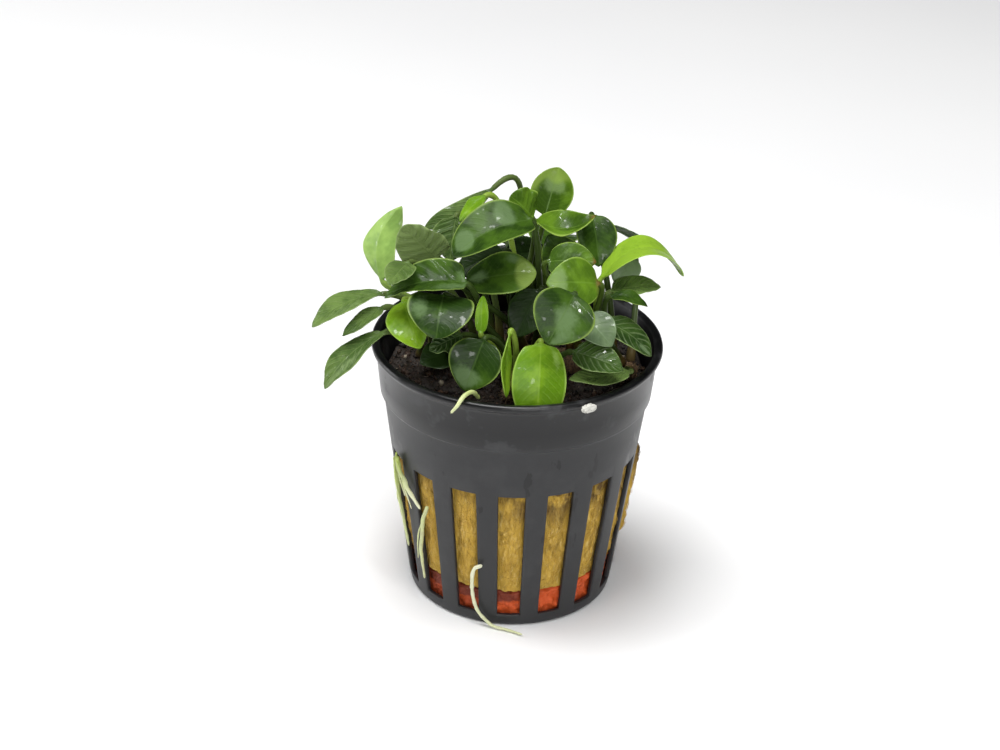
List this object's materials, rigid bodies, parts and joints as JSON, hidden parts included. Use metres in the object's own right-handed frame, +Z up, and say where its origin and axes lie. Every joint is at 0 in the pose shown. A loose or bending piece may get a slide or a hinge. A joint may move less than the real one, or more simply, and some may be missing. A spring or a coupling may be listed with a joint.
{
  "type": "potted bonsai anubias",
  "caption": "Small aquarium plant with round dark green leaves on a creeping rhizome, rooted in wool and peat in a black slotted net pot.",
  "frame": {"origin": "centre of the pot's underside, on the surface it stands on", "axes": "+Z up along the pot's axis; -Y is the front, the side with the long white root and the lime leaf over the rim; +X is the right seen from the front"},
  "size_m": [0.0679, 0.0585, 0.0834],
  "materials": {
    "pot_plastic": "satin black moulded plastic",
    "red_clay": "rough damp red clay",
    "mineral_wool": "damp golden fibre",
    "peat": "damp dark crumbs and fibres",
    "rhizome_skin": "rough brown skin",
    "root_skin": "smooth damp root",
    "perlite": "chalky",
    "leaf": "wet glossy leaf",
    "young_leaf": "wet glossy young leaf"
  },
  "bodies": {
    "root": {"pot": "pot_plastic", "clay_disc": "red_clay", "wool_plug": "mineral_wool", "soil": "peat", "rhizome": "rhizome_skin", "rhizome_front_fork": "rhizome_skin", "rhizome_back_fork": "rhizome_skin", "root_left_long": "root_skin", "root_left_tip": "root_skin", "root_left_down": "root_skin", "root_front": "root_skin", "root_rim": "root_skin", "perlite_grain": "perlite", "leaf_left_tall": "young_leaf", "leaf_left_ribbed": "leaf", "leaf_left_round": "leaf", "leaf_left_outer": "leaf", "leaf_left_middle": "leaf", "leaf_left_low": "leaf", "leaf_left_bright": "young_leaf", "leaf_left_roof": "leaf", "leaf_left_dark": "leaf", "leaf_crinkled": "leaf", "leaf_low_shade": "leaf", "leaf_back_arch": "leaf", "leaf_upper_young": "young_leaf", "leaf_upper_big": "leaf", "leaf_upper_small": "leaf", "leaf_ribbed_mid": "leaf", "leaf_top_cup": "leaf", "leaf_boat": "leaf", "leaf_right_hang": "leaf", "leaf_right_arch": "leaf", "leaf_crescent": "young_leaf", "leaf_right_blue": "leaf", "leaf_right_point": "leaf", "leaf_right_dark": "leaf", "leaf_centre_high": "leaf", "leaf_centre_right": "leaf", "leaf_centre_gloss": "leaf", "leaf_front_lime": "young_leaf", "leaf_front_rolled": "young_leaf", "leaf_front_left": "leaf", "leaf_centre_round": "leaf", "leaf_under_round": "leaf", "leaf_right_veined": "leaf", "leaf_right_lowest": "leaf", "leaf_right_rim": "leaf", "leaf_spear": "young_leaf", "leaf_centre_shade": "leaf", "leaf_upper_shade": "leaf", "leaf_inner_left": "leaf", "leaf_inner_right": "leaf", "leaf_rear_left_high": "leaf", "leaf_rear_left_low": "leaf", "leaf_rear_high": "leaf", "leaf_rear_middle": "leaf", "leaf_rear_low": "leaf", "leaf_rear_right_high": "leaf", "leaf_rear_right_low": "leaf"}
  },
  "joints": []
}
